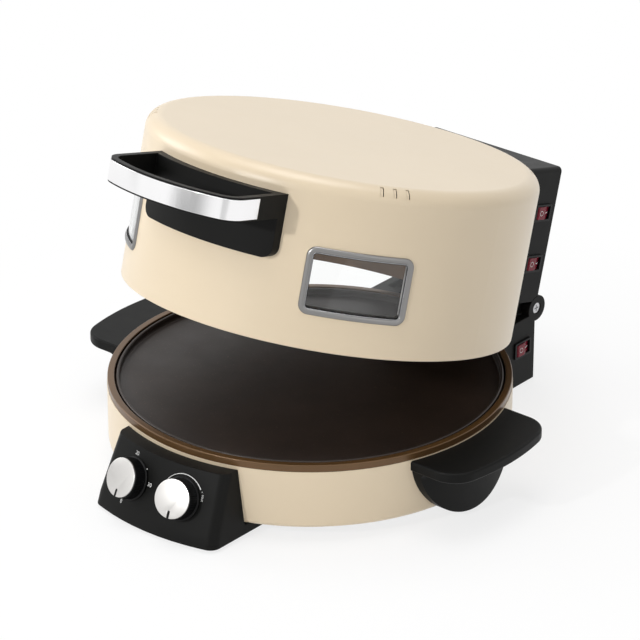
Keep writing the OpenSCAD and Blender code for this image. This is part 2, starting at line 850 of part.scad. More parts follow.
// Coated steel inner dome, flanged out to the shell at its lower edge
module lid_liner() {
    top = rim_z + liner_h;
    color(bronze) on_lid() difference() {
        translate([0, 0, rim_z]) rotate_extrude() {
            difference() {
                dome_section(liner_r, liner_h, liner_fillet);
                translate([0, -cut])
                    dome_section(liner_r - liner_wall, liner_h + cut - liner_wall,
                        liner_fillet - liner_wall);
            }
            translate([liner_r - liner_wall, 0])
                square([lid_r - sheet - seat - liner_r + liner_wall, liner_wall]);
        }
        for (s = [-1, 1]) around(s * win_angle) window_cut(sleeve + 0.1, 5, 100, 200);
        for (r = up_heater_r, s = [-1, 1]) heater_leg_place(r, s)
            translate([0, 0, top]) cylinder(r = tube_r + 2, h = 10, center = true);
    }
}

module upper_heaters() {
    color(steel) on_lid() for (r = up_heater_r) heater_ring(r, up_heater_z, 14, true);
}

// Hangers that carry the upper heating tubes under the inner dome
module upper_heater_hangers() {
    top = rim_z + liner_h - liner_wall;
    color(steel) on_lid() for (r = up_heater_r, a = [60, 180, 300]) rotate([0, 0, a]) translate([0, r, 0])
        difference() {
            span([-5, -8, up_heater_z - 1], [5, 8, top]);
            translate([0, 0, up_heater_z]) rotate([0, 90, 0])
                cylinder(r = tube_r + 0.3, h = 20, center = true);
        }
}

module upper_heater_bushings() {
    color(white) on_lid() for (r = up_heater_r, s = [-1, 1])
        bushing_at(r, s, rim_z + liner_h - liner_wall);
}

// Curved window frame: a raised face, a sleeve through both domes and a groove for the pane
module window_frame(side) {
    low = rim_z + 10;
    high = rim_z + lid_h - 20;
    color([0.45, 0.45, 0.45]) on_lid() around(side * win_angle) difference() {
        union() {
            intersection() {
                tube_ring(lid_r + seat, lid_r + frame_proud, low, high);
                window_cut(win_lip, 8, 100, 200);
            }
            intersection() {
                tube_ring(liner_r - 1.5, lid_r + 0.5, low, high);
                window_cut(sleeve, 4.9, 100, 200);
            }
        }
        window_cut(0, 3, 90, 220);
        intersection() {
            tube_ring(lid_r - 0.5 - glass_t - seat, lid_r - 0.5 + seat, low, high);
            window_cut(1, 4, 90, 220);
        }
    }
}

module window_frame_right() {
    window_frame(1);
}

module window_frame_left() {
    window_frame(-1);
}

// Curved pane in the groove of its frame
module window_glass(side) {
    color([0.8, 0.85, 0.85, 0.4]) on_lid() around(side * win_angle) intersection() {
        tube_ring(lid_r - 0.5 - glass_t, lid_r - 0.5, rim_z + 10, rim_z + lid_h - 20);
        window_cut(1 - seat, 3.9, 90, 220);
    }
}

module window_glass_right() {
    window_glass(1);
}

module window_glass_left() {
    window_glass(-1);
}

// Outline of the gripping loop, smaller by an inset
module grip_outline(inset) {
    bowed_outline(grip_half - inset, grip_bow - inset, grip_corner - inset, grip_front - inset, grip_back);
}

// Lid handle: a plate on the dome with a bowed loop in front of it
module lid_handle() {
    trim_low = grip_low + 1.3;
    color(black) on_lid() difference() {
        union() {
            intersection() {
                tube_ring(lid_r - 5, lid_r + grip_plate_t, rim_z + grip_plate_z, grip_low + grip_h);
                union() {
                    front_prism(2 * grip_half, grip_plate_h, 9,
                        rim_z + grip_plate_z + grip_plate_h / 2, 100, 200);
                    span([-grip_half, -200, grip_low], [grip_half, -100, grip_low + grip_h]);
                }
            }
            translate([0, 0, grip_low]) linear_extrude(grip_h) difference() {
                grip_outline(0);
                grip_outline(grip_t);
            }
        }
        cylinder(r = lid_r + seat, h = 400);
        intersection() {
            translate([0, 0, trim_low - seat]) linear_extrude(trim_h + 2 * seat) difference() {
                grip_outline(-10);
                grip_outline(0.8 + seat);
            }
            span([-200, -300, 0], [200, trim_back + seat, 400]);
        }
        lid_screw_places() cylinder(r = 1.95, h = 8);
    }
}

// Bright strip let into the front of the loop
module lid_handle_trim() {
    trim_low = grip_low + 1.3;
    color(steel) on_lid() intersection() {
        translate([0, 0, trim_low]) linear_extrude(trim_h) difference() {
            grip_outline(-0.5);
            grip_outline(0.8);
        }
        span([-200, -300, 0], [200, trim_back, 400]);
    }
}

// Screws from inside the dome into the handle and the rear housing
module lid_handle_screws() {
    color(steel) on_lid() lid_screw_places() rotate([180, 0, 0]) screw(1.9, 7, 3.4, 2);
}

module lid_cover_screw_places() {
    for (x = [-1, 1], z = [0, 1]) translate([x * boss_x, rear_y, z ? lid_rear_top - 9 : lid_rear_low + 20])
        rotate([-90, 0, 0]) children();
}

// Moulded housing behind the dome, notched around the hinge ears
module lid_rear_housing() {
    ear_gap = 0.5;
    color(black) on_lid() difference() {
        union() {
            difference() {
                intersection() {
                    span([-rear_half, 0, lid_rear_low], [rear_half, rear_y, lid_rear_top]);
                    translate([0, rear_y + cut, (lid_rear_low + lid_rear_top - housing_round) / 2])
                        rotate([90, 0, 0]) linear_extrude(rear_y + 2 * cut)
                            rounded_rect(2 * rear_half, lid_rear_top - lid_rear_low + housing_round,
                                housing_round);
                }
                span([-rear_half + wall, 0, lid_rear_low + wall],
                    [rear_half - wall, rear_y + cut, lid_rear_top - wall]);
            }
            intersection() {
                span([-rear_half, 0, lid_rear_low], [rear_half, rear_y - wall - 0.1, lid_rear_top]);
                union() {
                    both_sides() translate([ear_in - clear - wall, hinge_y, hinge_z]) rotate([0, 90, 0])
                        cylinder(r = ear_r + ear_gap + wall, h = ear_w + wall + 1);
                    lid_cover_screw_places() translate([0, 0, -20 - wall]) cylinder(r = 4, h = 20);
                }
            }
            both_sides() span([rear_half - wall - 4, lid_r - 14, rim_z + 16],
                [rear_half - 1, lid_r - 4, rim_z + 116]);
        }
        both_sides() translate([ear_in - clear, hinge_y, hinge_z]) rotate([0, 90, 0])
            cylinder(r = ear_r + ear_gap, h = 40);
        translate([0, 0, -cut]) cylinder(r = lid_r + seat, h = 400);
        lid_cover_screw_places() translate([0, 0, -12]) cylinder(r = 1.45, h = 20);
        for (z = lid_switch_z) switch_hole(z);
        lid_screw_places() cylinder(r = 1.95, h = 8);
    }
}

module lid_rear_cover() {
    edge = rear_half - wall - 0.4;
    color(black) on_lid() difference() {
        span([-edge, rear_y - wall, lid_rear_low + wall + 0.4], [edge, rear_y, lid_rear_top - wall - 0.4]);
        both_sides() translate([ear_in - clear - wall - 0.4, hinge_y, hinge_z]) rotate([0, 90, 0])
            cylinder(r = ear_r + wall + 0.9, h = 40);
        lid_cover_screw_places() translate([0, 0, -12]) cylinder(r = 1.7, h = 20);
    }
}

module lid_cover_screws() {
    color(steel) on_lid() lid_cover_screw_places() screw(1.3, 10, 2.8, 1.4);
}

// Barrel between the ears, with a block that carries the lid's rear housing
module hinge_barrel() {
    color(black) on_lid() difference() {
        union() {
            translate([-barrel_half, hinge_y, hinge_z]) rotate([0, 90, 0])
                cylinder(r = barrel_r, h = 2 * barrel_half);
            span([-barrel_half, hinge_y - 33, hinge_z - barrel_r], [barrel_half, hinge_y, lid_rear_low]);
        }
        translate([0, hinge_y, hinge_z]) rotate([0, 90, 0])
            cylinder(r = pin_r + run_gap, h = 4 * rear_half, center = true);
    }
}

base_shell();
bottom_cover();
bottom_screws();
feet();
bowl_liner();
baking_stone();
lower_heater();
lower_heater_clips();
lower_heater_bushings();
thermal_cutout();
right_handle();
left_handle();
side_handle_screws();
control_housing();
control_housing_cover();
control_cover_screws();
timer_unit();
timer_shaft();
timer_knob();
timer_cap();
thermostat_unit();
thermostat_shaft();
thermostat_knob();
thermostat_cap();
base_rear_housing();
base_rear_cover();
base_cover_screws();
cord_grommet();
hinge_screws();
base_switch_body();
base_rocker();
lid_shell();
lid_liner();
upper_heaters();
upper_heater_hangers();
upper_heater_bushings();
window_frame_right();
window_frame_left();
window_glass_right();
window_glass_left();
lid_handle();
lid_handle_trim();
lid_handle_screws();
lid_rear_housing();
lid_rear_cover();
lid_cover_screws();
hinge_barrel();
lid_switch_bodies();
lower_rocker();
upper_rocker();
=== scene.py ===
"""Electric pizza maker: finishes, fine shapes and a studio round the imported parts"""

import json
import math

import bpy
import bmesh
from mathutils import Matrix, Vector

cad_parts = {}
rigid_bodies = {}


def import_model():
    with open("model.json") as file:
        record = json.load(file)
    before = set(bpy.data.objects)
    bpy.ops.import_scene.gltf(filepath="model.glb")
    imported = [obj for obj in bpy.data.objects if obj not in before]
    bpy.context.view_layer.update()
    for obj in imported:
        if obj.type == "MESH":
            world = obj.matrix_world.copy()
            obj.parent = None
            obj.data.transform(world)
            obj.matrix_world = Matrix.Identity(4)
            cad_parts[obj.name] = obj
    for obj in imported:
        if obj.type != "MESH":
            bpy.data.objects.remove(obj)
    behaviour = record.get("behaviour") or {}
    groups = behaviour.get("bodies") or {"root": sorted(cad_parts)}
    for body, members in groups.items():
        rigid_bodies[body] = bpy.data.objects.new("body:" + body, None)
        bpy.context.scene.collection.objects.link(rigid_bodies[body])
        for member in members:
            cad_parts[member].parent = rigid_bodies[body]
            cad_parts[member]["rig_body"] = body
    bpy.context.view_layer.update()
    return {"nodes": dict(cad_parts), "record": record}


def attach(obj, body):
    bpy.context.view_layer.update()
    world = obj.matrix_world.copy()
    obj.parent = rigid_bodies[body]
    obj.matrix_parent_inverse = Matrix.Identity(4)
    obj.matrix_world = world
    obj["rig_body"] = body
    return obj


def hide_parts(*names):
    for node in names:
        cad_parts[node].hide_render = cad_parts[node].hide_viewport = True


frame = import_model()
nodes = frame["nodes"]
slot_of = {s["node"]: s["material_slot"] for s in frame["record"]["subparts"]}
MM = 0.001

# Sizes repeated from the part's source, in millimetres and degrees
AXIS_Y = -21.476818532
STONE_R = 167.1
STONE_LOW = 55.0
STONE_T = 10.0
STONE_RIM_H = 6.0
STONE_RIM_W = 3.0
LID_R = 169.5
LID_H = 141.6
LID_FILLET = 13.0
RIM_Z = 73.0
WIN_W = 78.6
WIN_H = 46.6
WIN_Z = 57.7
WIN_ANGLE = 46.949202
VENT_ANGLES = (53.3, -53.3, 137.0, -137.0)
VENT_STEP = 3.8
VENT_W = 2.8
HINGE_Y = 228.0
HINGE_Z = 69.0
LID_OPEN = 15.3
KNOB_ANGLE = 7.790054
PANEL_TILT = 24.128403
KNOB_FACE_R = 199.197917
KNOB_Z = 37.0
KNOB_R = 17.7
KNOB_TOP = 13.9
REAR_HALF = 73.0
SWITCH_Y = 207.0
SWITCH_Z = {"base_rocker": 37.0, "lower_rocker": 112.2, "upper_rocker": 159.0}
ROCKER_FACE = 2.315
ROCKER_TURN = 20.0

# Fine shapes that only this script draws, in millimetres and degrees
STONE_ROUND = 1.2
STONE_HOLLOW = 2.0
KNOB_LOW = 0.4
KNOB_RIBS = 72
RIB_DEPTH = 0.16
CAP_SINK = 1.2
CAP_T = 1.15
CAP_R = KNOB_R - 1.1
CAP_BEVEL = 0.3
CAP_STEPS = 120
NOTCH_W = 2.3
NOTCH_STEPS = 8
NOTCH_REACH = 5.4
NOTCH_TURN = -91
MARK_LIFT = 0.14
DIAL_TEXT = 4.6
MAX_TEXT = 2.7
DIAL_ARC_R = 20.8
SWITCH_RING = (1.9, 2.35)
SWITCH_RING_AT = -3.7
SWITCH_BAR = (2.8, 0.4)
SWITCH_BAR_AT = 5.2
SWITCH_MARK_LIFT = 0.1
ROCKER_BEND = 0.97
TONGUE_ARC = (27.5, 65)
TONGUE_SUNK = (0.3, 0.75)
TONGUE_SIDES = (0.15, 0.75)
WIN_CORNER = 3
WIN_STEPS = (24, 14)
SLEEVE_IN = 2.2
SLEEVE_DEPTH = 11.5

# CAD pieces shown with rounded edges, and their radius. Faces within FLAT_ANGLE count as one,
# edges from EDGE_ANGLE on are rounded, and what is left from SHARP_ANGLE on is shaded sharp
FLAT_ANGLE = 0.6
EDGE_ANGLE = 35
SHARP_ANGLE = 32
ROUNDED = {
    "control_housing": 1.2,
    "lid_handle": 1.4,
    "lid_rear_housing": 1.8,
    "base_rear_housing": 1.8,
    "lid_handle_trim": 0.3,
}

# Camera fitted to the photograph, in degrees, millimetres and pixels; it clips in metres
CAMERA_TURN = 40.1
CAMERA_RISE = 25.885
CAMERA_DISTANCE = 3127.278
CAMERA_FOCAL = 3596.103
AIM_Z = 12
AIM_PIXEL = (310.107, 430.748)
FRAME_PX = 640
SENSOR = 36
CLIP_END = 50

# Studio, in metres and watts: name, place, height aimed at, side of the square, power
LAMPS = (
    ("key", (-0.35, -2.65, 1.45), 0.12, 0.1, 26),
    ("front", (-0.98, -2.68, 1.0), 0.1, 1.0, 2.6),
    ("left", (-2.7, -0.7, 1.2), 0.12, 1.3, 25),
    ("right", (2.6, -0.9, 1.4), 0.12, 1.4, 4),
    ("top", (-0.2, 0.1, 2.7), 0.12, 1.6, 31),
)
WORLD_LIGHT = 0.4
FLOOR_HALF = 4

# Share of plain white in the floor that the camera sees, next to the object and from FLOOR_FAR on
FLOOR_WHITE = 0.76
FLOOR_NEAR = 0.2
FLOOR_FAR = 0.5

# Darker stretches of the studio's wall in reflections: from, to (degrees from the front), depth
WALL_SHADES = ((-125, -56, 0.42), (-23, -2, 0.55), (28, 60, 0.3))
WALL_BLUR = 7
WALL_TOP = 0.24
WALL_FULL = 0.06


def on_base(x, y, z):
    """A place in the part's own millimetres, as metres in the shared frame"""
    return Vector((x, y + AXIS_Y, z)) * MM


LID = (
    Matrix.Translation(on_base(0, HINGE_Y, HINGE_Z))
    @ Matrix.Rotation(math.radians(-LID_OPEN), 4, "X")
    @ Matrix.Translation(-on_base(0, HINGE_Y, HINGE_Z))
)


# ---- node trees ----
WHITE = (1, 1, 1, 1)


class Tree:
    """Short spellings for the nodes of a material or of the world"""

    def __init__(self, tree):
        self.tree = tree

    def add(self, kind, **values):
        made = self.tree.nodes.new(kind)
        for key, value in values.items():
            setattr(made, key, value)
        return made

    def link(self, a, b):
        self.tree.links.new(a, b)

    def math(self, operation, a, b):
        made = self.add("ShaderNodeMath", operation=operation)
        for socket, value in zip(made.inputs, (a, b)):
            if isinstance(value, (int, float)):
                socket.default_value = value
            else:
                self.link(value, socket)
        return made.outputs["Value"]

    def length(self, vector):
        made = self.add("ShaderNodeVectorMath", operation="LENGTH")
        self.link(vector, made.inputs[0])
        return made.outputs["Value"]

    def ramp(self, source, low, high, a=0.0, b=1.0, kind="LINEAR"):
        """Turns a to b in the source into low to high, and holds the ends"""
        made = self.add("ShaderNodeMapRange", interpolation_type=kind)
        made.inputs["From Min"].default_value = a
        made.inputs["From Max"].default_value = b
        made.inputs["To Min"].default_value = low
        made.inputs["To Max"].default_value = high
        self.link(source, made.inputs["Value"])
        return made.outputs["Result"]

    def seen(self):
        """1 where the camera, a reflection or a clear pane looks at the surface"""
        path = self.add("ShaderNodeLightPath")
        total = path.outputs["Is Camera Ray"]
        for name in ("Is Glossy Ray", "Is Transmission Ray"):
            total = self.math("MAXIMUM", total, path.outputs[name])
        return total

    def surface(self, factor, first, second, output):
        """Blends two shaders into the tree's output"""
        blend = self.add("ShaderNodeMixShader")
        for socket, source in zip(blend.inputs, (factor, first.outputs[0], second.outputs[0])):
            self.link(source, socket)
        self.link(blend.outputs[0], self.tree.nodes[output].inputs["Surface"])


class Graph(Tree):
    """A new material, with its shader and the object's own coordinates"""

    def __init__(self, name):
        self.material = bpy.data.materials.new(name)
        self.material.use_nodes = True
        super().__init__(self.material.node_tree)
        self.bsdf = self.tree.nodes["Principled BSDF"]
        self.coords = self.add("ShaderNodeTexCoord").outputs["Object"]

    def noise(self, scale, detail=4.0, rough=0.5, vector=None):
        made = self.add("ShaderNodeTexNoise")
        made.inputs["Scale"].default_value = scale
        made.inputs["Detail"].default_value = detail
        made.inputs["Roughness"].default_value = rough
        self.link(vector or self.coords, made.inputs["Vector"])
        return made.outputs["Fac"]

    def stretch(self, x, y, z):
        made = self.add("ShaderNodeMapping")
        made.inputs["Scale"].default_value = (x, y, z)
        self.link(self.coords, made.inputs["Vector"])
        return made.outputs["Vector"]

    def mix(self, factor, a, b):
        made = self.add("ShaderNodeMix", data_type="RGBA")
        self.link(factor, made.inputs["Factor"])
        for socket, value in ((made.inputs[6], a), (made.inputs[7], b)):
            if isinstance(value, tuple):
                socket.default_value = (*value, 1)
            else:
                self.link(value, socket)
        return made.outputs[2]

    def cloudy(self, source, color, dark, light):
        """The colour between a darker and a lighter shade of it, as the noise goes"""
        return self.mix(self.ramp(source, 0, 1, 0.3, 0.7), shade(color, dark), shade(color, light))

    def bump(self, height, strength, distance, under=None):
        """Relief from a height, with its distance in millimetres"""
        made = self.add("ShaderNodeBump")
        made.inputs["Strength"].default_value = strength
        made.inputs["Distance"].default_value = distance * MM
        self.link(height, made.inputs["Height"])
        if under:
            self.link(under, made.inputs["Normal"])
        return made.outputs["Normal"]

    def edge(self, radius):
        """Normals that round sharp edges, with their radius in millimetres"""
        made = self.add("ShaderNodeBevel", samples=4)
        made.inputs["Radius"].default_value = radius * MM
        return made.outputs["Normal"]

    def set(self, **values):
        """Links or writes the shader's sockets, and gives the material"""
        for key, value in values.items():
            socket = self.bsdf.inputs[key.replace("_", " ")]
            if isinstance(value, bpy.types.NodeSocket):
                self.link(value, socket)
            elif isinstance(value, tuple):
                socket.default_value = (*value, 1)
            else:
                socket.default_value = value
        return self.material


# ---- finishes ----
def srgb(*levels):
    """A colour as it shows, 0 to 255, as the shader's linear values"""
    shares = [level / 255 for level in levels]
    return tuple(c / 12.92 if c <= 0.04045 else ((c + 0.055) / 1.055) ** 2.4 for c in shares)


def shade(color, k):
    return tuple(min(1.0, c * k) for c in color)


def enamel(name, color):
    """Sprayed enamel: faint clouds, orange peel and fine specks under a soft coat"""
    g = Graph(name)
    specks = g.bump(g.noise(2400.0, 1.0), 0.03, 0.05, g.edge(0.5))
    return g.set(
        Base_Color=g.cloudy(g.noise(9.0, 3.0), color, 0.985, 1.015),
        Roughness=g.ramp(g.noise(60.0, 4.0), 0.36, 0.44),
        Normal=g.bump(g.noise(420.0, 2.0), 0.08, 0.2, specks),
        Coat_Weight=0.5,
        Coat_Roughness=0.35,
    )


def moulded(name, color, rough, grain, scale=1500.0, gloss=0.25, edge=0.8):
    """Moulded plastic, rubber or clay with a fine grain"""
    g = Graph(name)
    return g.set(
        Base_Color=g.cloudy(g.noise(14.0, 3.0), color, 0.88, 1.12),
        Roughness=g.ramp(g.noise(90.0, 5.0), rough - 0.05, rough + 0.06),
        Normal=g.bump(g.noise(scale, 3.0, 0.6), grain, 0.2, g.edge(edge)),
        Specular_IOR_Level=gloss,
    )


def coated_steel(name, color, rough=0.3):
    """Steel with a thin brown non-stick coat"""
    g = Graph(name)
    return g.set(
        Base_Color=g.cloudy(g.noise(12.0, 4.0), color, 0.88, 1.12),
        Roughness=g.ramp(g.noise(45.0, 5.0), rough - 0.05, rough + 0.08),
        Metallic=0.35,
        Normal=g.bump(g.noise(900.0, 2.0), 0.06, 0.1, g.edge(0.5)),
        Coat_Weight=0.15,
        Coat_Roughness=0.2,
    )


def glazed(name, color, speckle):
    """Dark glazed stone: cloudy ground with fine pale grains and a smooth, uneven glaze"""
    g = Graph(name)
    broad = g.noise(16.0, 5.0, 0.6)
    grains = g.noise(650.0, 2.0, 0.7)
    ground = g.cloudy(broad, color, 0.75, 1.25)
    return g.set(
        Base_Color=g.mix(g.ramp(grains, 0, 1, 0.66, 0.74), ground, speckle),
        Roughness=g.ramp(g.noise(40.0, 5.0), 0.34, 0.5),
        Normal=g.bump(grains, 0.1, 0.2, g.bump(broad, 0.1, 1.0)),
        Specular_IOR_Level=0.4,
    )


def sheet_metal(name, color, rough=0.35):
    """Rolled or drawn metal with fine streaks"""
    g = Graph(name)
    streak = g.noise(40.0, 6.0, 0.7, g.stretch(60, 1, 1))
    return g.set(
        Base_Color=g.cloudy(g.noise(10.0, 3.0), color, 0.92, 1.05),
        Metallic=1.0,
        Roughness=g.ramp(streak, rough - 0.08, rough + 0.1),
        Normal=g.bump(streak, 0.04, 0.1, g.edge(0.3)),
    )


def spun_metal(name, color, rough):
    """Metal with fine rings round the middle of a disc, from its own disc coordinates"""
    g = Graph(name)
    disc = g.add("ShaderNodeUVMap", uv_map="disc").outputs["UV"]
    spread = g.add("ShaderNodeCombineXYZ")
    g.link(g.length(disc), spread.inputs["X"])
    rings = g.noise(90.0, 4.0, 0.7, spread.outputs["Vector"])
    return g.set(
        Base_Color=g.cloudy(rings, color, 0.94, 1.04),
        Metallic=1.0,
        Roughness=g.ramp(g.noise(3.0, 2.0, 0.5, disc), rough - 0.04, rough + 0.05),
        Normal=g.bump(rings, 0.06, 0.1),
    )


def clear_glass(name):
    """Clear pane that lets lamp light through to what lies behind it"""
    g = Graph(name)
    smear = g.noise(25.0, 4.0)
    g.set(
        Base_Color=g.mix(g.ramp(smear, 0, 1, 0.3, 0.7), (0.98, 0.99, 0.985), (0.99, 1.0, 0.995)),
        Roughness=g.ramp(smear, 0.0, 0.02),
        IOR=1.45,
        Transmission_Weight=1.0,
    )
    clear = g.add("ShaderNodeBsdfTransparent")
    clear.inputs["Color"].default_value = (0.93, 0.94, 0.935, 1)
    shadow = g.add("ShaderNodeLightPath").outputs["Is Shadow Ray"]
    g.surface(shadow, g.bsdf, clear, "Material Output")
    return g.material


RECIPES = {
    "cream_enamel": (enamel, srgb(225, 207, 178)),
    "bronze_coating": (coated_steel, srgb(98, 70, 38)),
    "glazed_stone": (glazed, srgb(44, 34, 28), srgb(96, 80, 64)),
    "sheet_steel": (sheet_metal, srgb(178, 178, 180)),
    "heater_steel": (sheet_metal, srgb(110, 106, 102), 0.45),
    "screw_steel": (sheet_metal, srgb(190, 190, 192), 0.25),
    "foot_rubber": (moulded, srgb(24, 24, 24), 0.75, 0.25, 800.0),
    "ceramic": (moulded, srgb(226, 222, 214), 0.7, 0.1, 900.0, 0.5),
    "black_plastic": (moulded, srgb(16, 16, 15), 0.45, 0.12, 1500.0, 0.12),
    "black_gloss": (moulded, srgb(12, 12, 13), 0.32, 0.04, 1500.0, 0.18, 0.4),
    "knob_metal": (spun_metal, srgb(214, 212, 209), 0.3),
    "bright_trim": (sheet_metal, srgb(251, 250, 251), 0.11),
    "grey_frame": (sheet_metal, srgb(138, 137, 136), 0.3),
    "window_glass": (clear_glass,),
    "red_rocker": (moulded, srgb(118, 8, 34), 0.26, 0.03, 1500.0, 0.3, 0.6),
    "print_white": (moulded, srgb(232, 232, 230), 0.6, 0.05),
}
finishes = {name: make(name, *values) for name, (make, *values) in RECIPES.items()}

for name, node in nodes.items():
    node.data.materials.clear()
    node.data.materials.append(finishes[slot_of[name]])


# ---- camera, lamps, floor and world ----
def aim_camera():
    turn, rise = math.radians(CAMERA_TURN), math.radians(CAMERA_RISE)
    back = Vector((
        math.sin(turn) * math.cos(rise),
        -math.cos(turn) * math.cos(rise),
        math.sin(rise),
    ))
    right = Vector((math.cos(turn), math.sin(turn), 0))
    up = back.cross(right)
    aside, below = ((p - FRAME_PX / 2) / CAMERA_FOCAL * CAMERA_DISTANCE for p in AIM_PIXEL)
    place = back * CAMERA_DISTANCE - right * aside + up * below + Vector((0, 0, AIM_Z))
    data = bpy.data.cameras.new("camera")
    data.sensor_width = SENSOR
    data.lens = CAMERA_FOCAL / FRAME_PX * SENSOR
    data.clip_end = CLIP_END
    camera = bpy.data.objects.new("camera", data)
    bpy.context.scene.collection.objects.link(camera)
    axes = Matrix((right, up, back)).transposed().to_4x4()
    camera.matrix_world = Matrix.Translation(on_base(*place)) @ axes
    bpy.context.scene.camera = camera


def area_light(name, place, target_z, size, power):
    data = bpy.data.lights.new(name, "AREA")
    data.shape = "SQUARE"
    data.size, data.energy = size, power
    lamp = bpy.data.objects.new(name, data)
    bpy.context.scene.collection.objects.link(lamp)
    lamp.location = place
    aim = Vector((0, 0, target_z)) - Vector(place)
    lamp.rotation_euler = aim.to_track_quat("-Z", "Y").to_euler()


def build_floor():
    """Pale floor that keeps the object's shadow and runs into plain white further off"""
    bm = bmesh.new()
    bmesh.ops.create_grid(bm, x_segments=1, y_segments=1, size=FLOOR_HALF)
    mesh = bpy.data.meshes.new("floor")
    bm.to_mesh(mesh)
    bm.free()
    floor = bpy.data.objects.new("floor", mesh)
    bpy.context.scene.collection.objects.link(floor)
    g = Graph("floor_white")
    mesh.materials.append(g.set(Base_Color=(0.96, 0.96, 0.96), Roughness=0.9))
    bright = g.add("ShaderNodeEmission")
    bright.inputs["Color"].default_value = WHITE
    white = g.ramp(g.length(g.coords), FLOOR_WHITE, 1.0, FLOOR_NEAR, FLOOR_FAR)
    g.surface(g.math("MULTIPLY", g.seen(), white), g.bsdf, bright, "Material Output")


def studio_tone(g):
    """1 for the camera; a reflection also sees softly darker stretches of wall near the floor"""
    split = g.add("ShaderNodeSeparateXYZ")
    g.link(g.add("ShaderNodeTexCoord").outputs["Generated"], split.inputs[0])
    x, y, z = split.outputs
    turn = g.math("ARCTAN2", x, g.math("MULTIPLY", y, -1.0))
    low = g.ramp(z, 0, 1, WALL_TOP, WALL_FULL, "SMOOTHSTEP")
    blur = math.radians(WALL_BLUR)
    total = 0.0
    for start, end, depth in WALL_SHADES:
        a, b = math.radians(start), math.radians(end)
        rise = g.ramp(turn, 0, 1, a - blur, a + blur, "SMOOTHSTEP")
        fall = g.ramp(turn, 0, 1, b + blur, b - blur, "SMOOTHSTEP")
        band = g.math("MULTIPLY", g.math("MULTIPLY", rise, fall), depth)
        total = g.math("ADD", total, band)
    glossy = g.add("ShaderNodeLightPath").outputs["Is Glossy Ray"]
    return g.math("SUBTRACT", 1.0, g.math("MULTIPLY", g.math("MULTIPLY", total, low), glossy))


def build_world():
    """Dim white light from all round, with full white wherever it is looked at"""
    world = bpy.data.worlds.new("studio")
    bpy.context.scene.world = world
    world.use_nodes = True
    g = Tree(world.node_tree)
    light = g.tree.nodes["Background"]
    light.inputs["Color"].default_value = WHITE
    light.inputs["Strength"].default_value = WORLD_LIGHT
    wall = g.add("ShaderNodeBackground")
    wall.inputs["Color"].default_value = WHITE
    g.link(studio_tone(g), wall.inputs["Strength"])
    g.surface(g.seen(), light, wall, "World Output")


# ---- meshes ----
def show(name, mesh, node, finish, replaces=True):
    """Shows a mesh on the body of a CAD node, and in that node's place where it replaces it"""
    mesh.materials.append(finishes[finish])
    made = bpy.data.objects.new(name, mesh)
    bpy.context.scene.collection.objects.link(made)
    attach(made, nodes[node]["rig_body"])
    if replaces:
        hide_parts(node)
    return made


def drawn(name, points, faces, sharp=None):
    """A mesh from points and faces, smooth up to the angle that stays sharp, or flat"""
    mesh = bpy.data.meshes.new(name)
    mesh.from_pydata([tuple(p) for p in points], [], faces)
    mesh.update()
    if sharp:
        smooth(mesh, sharp)
    return mesh


def smooth(mesh, sharp):
    mesh.shade_smooth()
    mesh.set_sharp_from_angle(angle=math.radians(sharp))


def evaluated(name, data, bevel=None):
    """The mesh that a curve, a text or a bevelled mesh comes to"""
    helper = bpy.data.objects.new(name + "_helper", data)
    bpy.context.scene.collection.objects.link(helper)
    if bevel:
        modifier = helper.modifiers.new("bevel", "BEVEL")
        for key, value in bevel.items():
            setattr(modifier, key, value)
    bpy.context.view_layer.update()
    graph = bpy.context.evaluated_depsgraph_get()
    mesh = bpy.data.meshes.new_from_object(helper.evaluated_get(graph))
    bpy.data.objects.remove(helper)
    return mesh


def rounded_copy(node, width):
    """A copy of a CAD node with its sharp edges rounded, shown in its place"""
    name = node + "_rounded"
    bm = bmesh.new()
    bm.from_mesh(nodes[node].data)
    bmesh.ops.remove_doubles(bm, verts=bm.verts, dist=1e-6)
    flat = math.radians(FLAT_ANGLE)
    bmesh.ops.dissolve_limit(bm, angle_limit=flat, verts=bm.verts, edges=bm.edges)
    mesh = bpy.data.meshes.new(name)
    bm.to_mesh(mesh)
    bm.free()
    bevel = {
        "width": width * MM,
        "segments": 3,
        "limit_method": "ANGLE",
        "angle_limit": math.radians(EDGE_ANGLE),
    }
    mesh = evaluated(name, mesh, bevel)
    smooth(mesh, SHARP_ANGLE)
    made = show(name, mesh, node, slot_of[node])
    weighted = made.modifiers.new("normals", "WEIGHTED_NORMAL")
    weighted.keep_sharp = True


def around(angle, x, y):
    """A point turned about the origin, in degrees"""
    c, s = math.cos(math.radians(angle)), math.sin(math.radians(angle))
    return x * c - y * s, x * s + y * c


def arc(cx, cy, r, start, end, steps):
    """Points of an arc in a section, angles in degrees"""
    made = []
    for i in range(steps + 1):
        t = math.radians(start + (end - start) * i / steps)
        made.append((cx + r * math.cos(t), cy + r * math.sin(t)))
    return made


def turned(profile, place, steps, ripple=None):
    """Points and faces of a section in (radius, height) turned round an axis"""
    points, faces = [], []
    for i in range(steps):
        t = 2 * math.pi * i / steps
        for k, (r, z) in enumerate(profile):
            d = r + (ripple(k, t) if ripple else 0.0)
            points.append(place(d * math.cos(t), d * math.sin(t), z))
    n = len(profile)
    for i in range(steps):
        j = (i + 1) % steps
        for k in range(n - 1):
            faces.append((i * n + k, j * n + k, j * n + k + 1, i * n + k + 1))
    return points, faces


def placed(outline, place, turn=0.0):
    """A flat outline, turned and then put in its place"""
    points, faces = outline
    return [place(*around(turn, x, y)) for x, y in points], faces


def joined(parts):
    points, faces = [], []
    for some, these in parts:
        start = len(points)
        points += some
        faces += [tuple(i + start for i in f) for f in these]
    return points, faces


